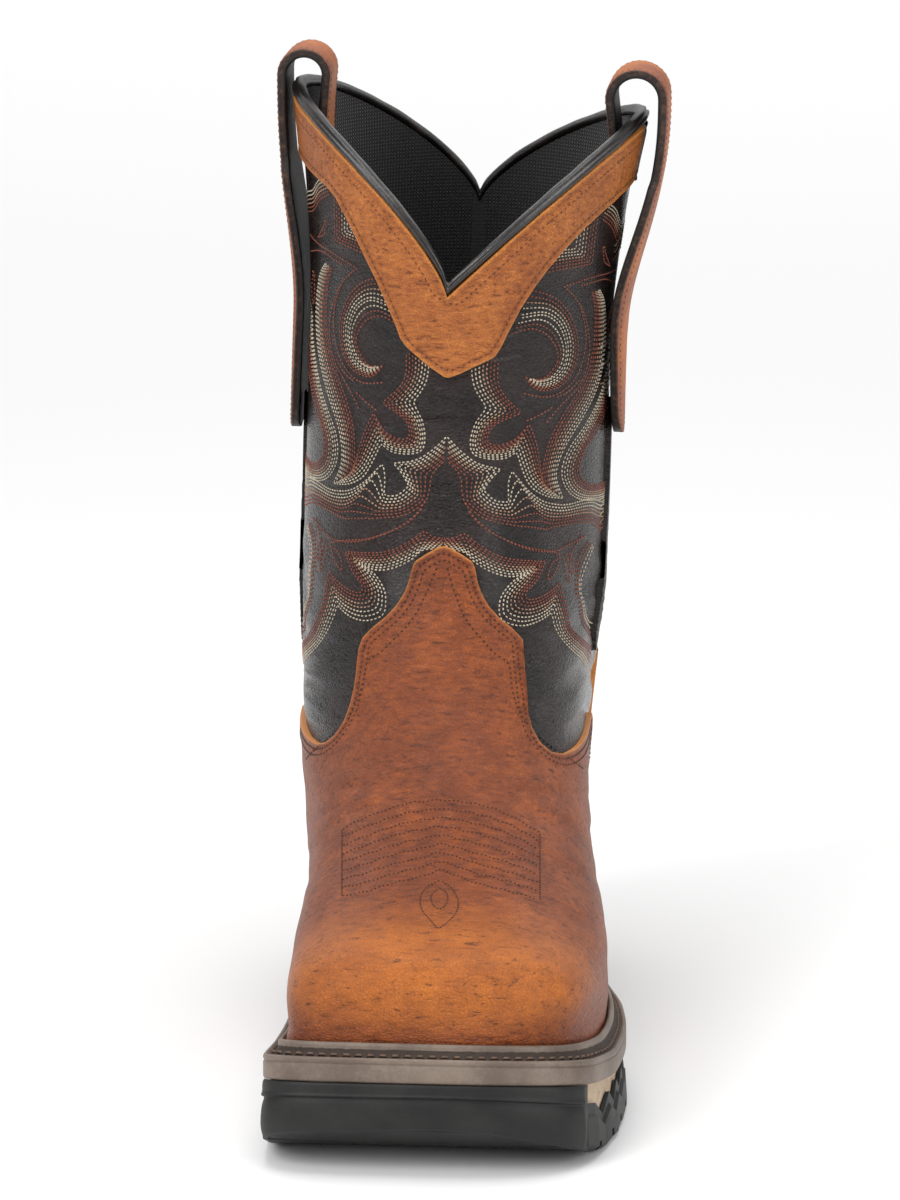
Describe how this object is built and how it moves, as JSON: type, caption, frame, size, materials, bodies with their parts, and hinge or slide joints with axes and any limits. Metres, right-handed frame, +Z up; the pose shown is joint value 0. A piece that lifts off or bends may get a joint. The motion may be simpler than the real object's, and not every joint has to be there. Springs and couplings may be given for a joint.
{
  "type": "western work boot",
  "caption": "Western work boot for the left foot: square toe, tall stitched shaft with a dipped collar, pull straps, welt and a lugged rubber sole.",
  "frame": {"origin": "on the floor, under the centre of the boot's bounding box", "axes": "-Y to the toe, +Y to the heel, +X to the outer side of the left foot, +Z up"},
  "size_m": [0.1358, 0.312, 0.3385],
  "materials": {
    "shaft_leather": "glossy dark brown, finely creased",
    "foot_leather": "waxed orange-brown, mottled",
    "band_leather": "waxed tan-orange, pebbled",
    "binding": "satin dark brown",
    "welt": "matte taupe",
    "midsole": "matte cream",
    "outsole": "matte black",
    "insole": "matte black"
  },
  "bodies": {
    "root": {"upper": "shaft_leather", "vamp": "foot_leather", "counter": "foot_leather", "collar_front": "band_leather", "collar_back": "band_leather", "collar_binding": "binding", "side_seam_medial": "shaft_leather", "side_seam_lateral": "shaft_leather", "pull_strap_medial": "band_leather", "pull_strap_lateral": "band_leather", "welt": "welt", "midsole": "midsole", "outsole": "outsole", "insole": "insole"}
  },
  "joints": []
}
